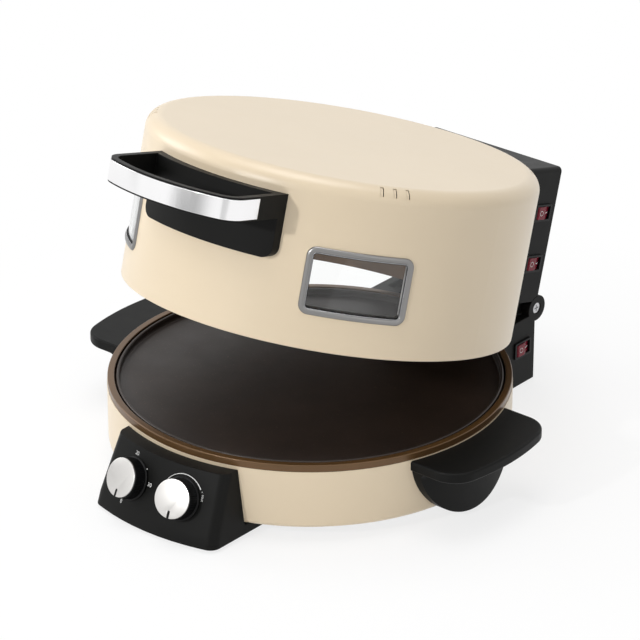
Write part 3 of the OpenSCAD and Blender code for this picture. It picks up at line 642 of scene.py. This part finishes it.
# ---- stone ----
def stone():
    """Round stone with a raised, rounded edge and a hollow at its foot"""
    top = STONE_LOW + STONE_T
    edge = STONE_RIM_W / 2
    inner = STONE_R - STONE_RIM_W
    peak = top + STONE_RIM_H - edge
    low_r = STONE_R - STONE_ROUND
    profile = [(0.0, STONE_LOW), (low_r, STONE_LOW)]
    profile += arc(low_r, STONE_LOW + STONE_ROUND, STONE_ROUND, -90, 0, 5)
    profile += arc(STONE_R - edge, peak, edge, 0, 180, 14)
    profile += arc(inner - STONE_HOLLOW, top + STONE_HOLLOW, STONE_HOLLOW, 0, -90, 8)
    profile += [(inner * k, top) for k in (0.8, 0.5, 0.25, 0.0)]
    mesh = drawn("glazed_stone", *turned(profile, on_base, 288), sharp=40)
    show("glazed_stone", mesh, "baking_stone", "glazed_stone")


# ---- knobs and the marks on the control face ----
def face_axes(angle):
    """Right, up the slope and outward, where the sloping control face stands at an angle"""
    tilt = math.radians(PANEL_TILT)
    right = Vector((math.cos(angle), math.sin(angle), 0))
    out = Vector((
        math.sin(angle) * math.cos(tilt),
        -math.cos(angle) * math.cos(tilt),
        math.sin(tilt),
    ))
    return right, out.cross(right), out


def on_face(side, u, v, lift):
    """A place on the control face: u to the right and v up the slope, from a knob's axis"""
    angle = side * math.radians(KNOB_ANGLE) + u / KNOB_FACE_R
    tilt = math.radians(PANEL_TILT)
    r = KNOB_FACE_R - v * math.sin(tilt)
    foot = on_base(r * math.sin(angle), -r * math.cos(angle), KNOB_Z + v * math.cos(tilt))
    return foot + face_axes(angle)[2] * (lift * MM)


def knob_frame(side):
    """Places a point of a knob, drawn along +Z from the control face"""
    x, y, z = face_axes(side * math.radians(KNOB_ANGLE))
    foot = on_face(side, 0, 0, 0)
    return lambda a, b, c: foot + (x * a + y * b + z * c) * MM


def knob(name, side):
    """Knob body with a smooth skirt, a finely ribbed grip and a rounded shoulder"""
    low, high = KNOB_LOW, KNOB_TOP - CAP_SINK
    lip = KNOB_R + 0.2
    grip = KNOB_R - 0.1
    profile = [(5.0, low), (lip, low)] + arc(lip, low + 0.5, 0.5, -90, 90, 6)
    skirt = len(profile)
    profile += [(KNOB_R - 0.2, low + 1.6), (grip, low + 1.9)]
    profile += [(grip - 0.045 * k, low + 2.2 + 0.9 * k) for k in range(9)]
    ribs = len(profile)
    profile += arc(KNOB_R - 1.3, high - 0.7, 0.7, 0, 90, 6) + [(KNOB_R - 3.0, high), (4.0, high)]

    def ripple(k, t):
        return RIB_DEPTH * math.cos(KNOB_RIBS * t) if skirt + 1 < k < ribs else 0.0

    points, faces = turned(profile, knob_frame(side), 8 * KNOB_RIBS, ripple)
    show(name + "_grip", drawn(name + "_grip", points, faces, sharp=50), name, "black_gloss")


def notched_disc():
    """Outline of a cap, a circle with a round-ended notch that runs in from its edge"""
    half = NOTCH_W / 2
    turn = math.radians(NOTCH_TURN)
    spread = math.asin(half / CAP_R)
    outline = []
    for i in range(CAP_STEPS + 1):
        t = turn + spread + (2 * math.pi - 2 * spread) * i / CAP_STEPS
        outline.append((CAP_R * math.cos(t), CAP_R * math.sin(t)))
    along = Vector((math.cos(turn), math.sin(turn)))
    across = Vector((-along.y, along.x))
    for k in range(NOTCH_STEPS + 1):
        t = math.pi * k / NOTCH_STEPS
        p = along * (CAP_R - NOTCH_REACH - half * math.sin(t)) - across * (half * math.cos(t))
        outline.append((p.x, p.y))
    return outline


def knob_cap(name, side):
    """Spun metal disc, notched at the pointer, with disc coordinates for its finish"""
    bm = bmesh.new()
    face = bm.faces.new([bm.verts.new((x, y, 0.0)) for x, y in notched_disc()])
    lifted = bmesh.ops.extrude_face_region(bm, geom=[face])
    top = [g for g in lifted["geom"] if isinstance(g, bmesh.types.BMVert)]
    bmesh.ops.translate(bm, verts=top, vec=(0, 0, CAP_T))
    edges = [e for e in bm.edges if all(v in top for v in e.verts)]
    bmesh.ops.bevel(bm, geom=edges, offset=CAP_BEVEL, segments=3, affect="EDGES", profile=0.5)
    bmesh.ops.recalc_face_normals(bm, faces=bm.faces)
    layer = bm.loops.layers.uv.new("disc")
    for f in bm.faces:
        for loop in f.loops:
            loop[layer].uv = (loop.vert.co.x / CAP_R, loop.vert.co.y / CAP_R)
    place = knob_frame(side)
    for v in bm.verts:
        v.co = place(v.co.x, v.co.y, v.co.z + KNOB_TOP - CAP_SINK)
    mesh = bpy.data.meshes.new(name + "_disc")
    bm.to_mesh(mesh)
    bm.free()
    smooth(mesh, 35)
    show(name + "_disc", mesh, name, "knob_metal")


def glyphs(text, size):
    """Plain lettering as flat points in millimetres, with its faces"""
    curve = bpy.data.curves.new("glyphs", "FONT")
    curve.body, curve.size = text, size
    curve.align_x, curve.align_y = "CENTER", "CENTER"
    mesh = evaluated("glyphs", curve)
    points = [(v.co.x, v.co.y) for v in mesh.vertices]
    faces = [tuple(f.vertices) for f in mesh.polygons]
    bpy.data.meshes.remove(mesh)
    return points, faces


def ring_outline(r_in, r_out, steps=40):
    turns = (2 * math.pi * i / steps for i in range(steps))
    points = [(r * math.sin(t), r * math.cos(t)) for t in turns for r in (r_in, r_out)]
    n = 2 * steps
    faces = [(2 * i, 2 * i + 1, (2 * i + 3) % n, (2 * i + 2) % n) for i in range(steps)]
    return points, faces


def dot(r, steps):
    """A ring with a pinhole, which shows as a dot"""
    return ring_outline(0.01, r, steps)


def swept_mark(r, start, end, thin, thick, steps=48):
    """An arc round a knob that grows from thin to thick, clockwise from the top, in degrees"""
    points, faces = [], []
    for i in range(steps + 1):
        t = math.radians(start + (end - start) * i / steps)
        half = (thin + (thick - thin) * i / steps) / 2
        points += [(d * math.sin(t), d * math.cos(t)) for d in (r - half, r + half)]
    faces = [(2 * i, 2 * i + 1, 2 * i + 3, 2 * i + 2) for i in range(steps)]
    return points, faces


def show_marks(name, parts, node):
    """Printed marks, flat and white, on a CAD node"""
    mesh = drawn(name, *joined(parts))
    show(name, mesh, node, "print_white", replaces=False)


def dial_marks():
    """Minutes round the timer, and an arc that grows to MAX round the thermostat"""
    parts = []
    for side, outline, u, v, turn in (
        (-1, glyphs("20", DIAL_TEXT), -3.2, 21.6, 0),
        (-1, dot(0.6, 16), 13.2, 13.2, 0),
        (-1, glyphs("30", DIAL_TEXT), 20.6, 1.6, 0),
        (-1, glyphs("0", DIAL_TEXT), -4.4, -21.8, 0),
        (1, swept_mark(DIAL_ARC_R, -78, 56, 0.3, 0.8), 0, 0, 0),
        (1, dot(0.35, 12), 18.9, 9.9, 0),
        (1, glyphs("MAX", MAX_TEXT), 19.9, 5.0, -90),
    ):
        parts.append(placed(outline, lambda a, b: on_face(side, u + a, v + b, MARK_LIFT), turn))
    show_marks("dial_marks", parts, "control_housing")


def rocker_marks(name):
    """A ring on the front half and a bar on the rear half of a rocker"""
    face_x = REAR_HALF + ROCKER_FACE + SWITCH_MARK_LIFT
    fall = math.tan(math.radians(ROCKER_TURN))

    def place(y, z):
        sunk = max(0.0, y - ROCKER_BEND) * fall
        p = on_base(face_x - sunk, SWITCH_Y + y, SWITCH_Z[name] + z)
        return p if name == "base_rocker" else LID @ p

    w, h = SWITCH_BAR
    bar = [(-w, -h), (w, -h), (w, h), (-w, h)], [(0, 1, 2, 3)]
    parts = [
        placed(ring_outline(*SWITCH_RING), lambda a, b: place(a + SWITCH_RING_AT, b)),
        placed(bar, lambda a, b: place(a + SWITCH_BAR_AT, b)),
    ]
    show_marks(name + "_marks", parts, name)


# ---- lid details ----
def vent_tongues():
    """Pressed tongues that nearly close the vent slots, open along the upper end and one side"""
    cx, cz = LID_R - LID_FILLET, RIM_Z + LID_H - LID_FILLET
    low, high = TONGUE_ARC
    outer, inner = (LID_FILLET - sunk for sunk in TONGUE_SUNK)
    section = arc(cx, cz, outer, low, high, 8) + arc(cx, cz, inner, high, low, 8)
    n = len(section)
    faces = [tuple(range(n)), tuple(reversed(range(n, 2 * n)))]
    faces += [(k, (k + 1) % n, n + (k + 1) % n, n + k) for k in range(n)]
    parts = []
    for mid in VENT_ANGLES:
        for step in (-1, 0, 1):
            points = []
            for x in (-VENT_W / 2 + TONGUE_SIDES[0], VENT_W / 2 - TONGUE_SIDES[1]):
                for r, z in section:
                    points.append(LID @ on_base(*around(mid + step * VENT_STEP, x, -r), z))
            parts.append((points, faces))
    mesh = drawn("lid_vent_tongues", *joined(parts), sharp=30)
    show("lid_vent_tongues", mesh, "lid_shell", "cream_enamel", replaces=False)


def window_path(side, grow, radius):
    """Points on the lid's curve round a window, a rounded rectangle seen from straight ahead"""
    corner = WIN_CORNER + grow
    wide, high = WIN_STEPS
    w, h = WIN_W / 2 + grow - corner, WIN_H / 2 + grow - corner
    flat = []
    for sx, sz, start, reach, count in (
        (1, 1, 0, 2 * w, wide),
        (-1, 1, 90, 2 * h, high),
        (-1, -1, 180, 2 * w, wide),
        (1, -1, 270, 2 * h, high),
    ):
        flat += arc(sx * w, sz * h, corner, start, start + 90, 8)
        x, z = flat[-1]
        turn = math.radians(start + 90)
        for k in range(1, count):
            along = reach * k / count
            flat.append((x - math.sin(turn) * along, z + math.cos(turn) * along))
    made = []
    for x, z in flat:
        a, b = around(side * WIN_ANGLE, x, -math.sqrt(radius * radius - x * x))
        made.append(LID @ on_base(a, b, RIM_Z + WIN_Z + z))
    return made


def window_frame(side, word):
    """Metal frame with a crowned face, and the sleeve that lines the opening"""
    crown = [(5.2, 0.05), (5.18, 0.5), (4.95, 0.95), (4.5, 1.35), (3.8, 1.65), (2.9, 1.8),
             (2.0, 1.75), (1.2, 1.5), (0.6, 1.1), (0.2, 0.6), (0.0, 0.0)]
    section = [(SLEEVE_IN, -SLEEVE_DEPTH), (SLEEVE_IN, 0.05)] + crown + [(0.0, -SLEEVE_DEPTH)]
    rings = [window_path(side, grow, LID_R + rise) for grow, rise in section]
    count, n = len(rings[0]), len(rings)
    points = [p for ring in rings for p in ring]
    faces = []
    for k in range(n):
        for i in range(count):
            j, m = (i + 1) % count, (k + 1) % n
            faces.append((k * count + i, k * count + j, m * count + j, m * count + i))
    mesh = drawn("crowned_frame_" + word, points, faces, sharp=50)
    show("crowned_frame_" + word, mesh, "window_frame_" + word, "grey_frame")


def bead(name, path, thick, node, finish):
    """A closed round bead along a path"""
    curve = bpy.data.curves.new(name, "CURVE")
    curve.dimensions = "3D"
    curve.bevel_depth = thick * MM
    curve.bevel_resolution = 3
    line = curve.splines.new("POLY")
    line.points.add(len(path) - 1)
    for point, p in zip(line.points, path):
        point.co = (*p, 1)
    line.use_cyclic_u = True
    mesh = evaluated(name, curve)
    mesh.shade_smooth()
    show(name, mesh, node, finish, replaces=False)


def windows():
    """Both window frames, each with a bright bead at its inner edge and a gasket at the pane"""
    for side, word in ((1, "right"), (-1, "left")):
        window_frame(side, word)
        node = "window_frame_" + word
        for trim, grow, rise, thick, finish in (
            ("window_bead_", 0.1, 0.85, 0.25, "screw_steel"),
            ("window_gasket_", -0.3, 0.1, 0.45, "foot_rubber"),
        ):
            bead(trim + word, window_path(side, grow, LID_R + rise), thick, node, finish)


aim_camera()
build_floor()
build_world()
for lamp in LAMPS:
    area_light(*lamp)

stone()
for name, side in (("timer", -1), ("thermostat", 1)):
    knob(name + "_knob", side)
    knob_cap(name + "_cap", side)
dial_marks()
for name in SWITCH_Z:
    rocker_marks(name)
vent_tongues()
windows()
for name, width in ROUNDED.items():
    rounded_copy(name, width)

bpy.context.scene.view_settings.view_transform = "Standard"
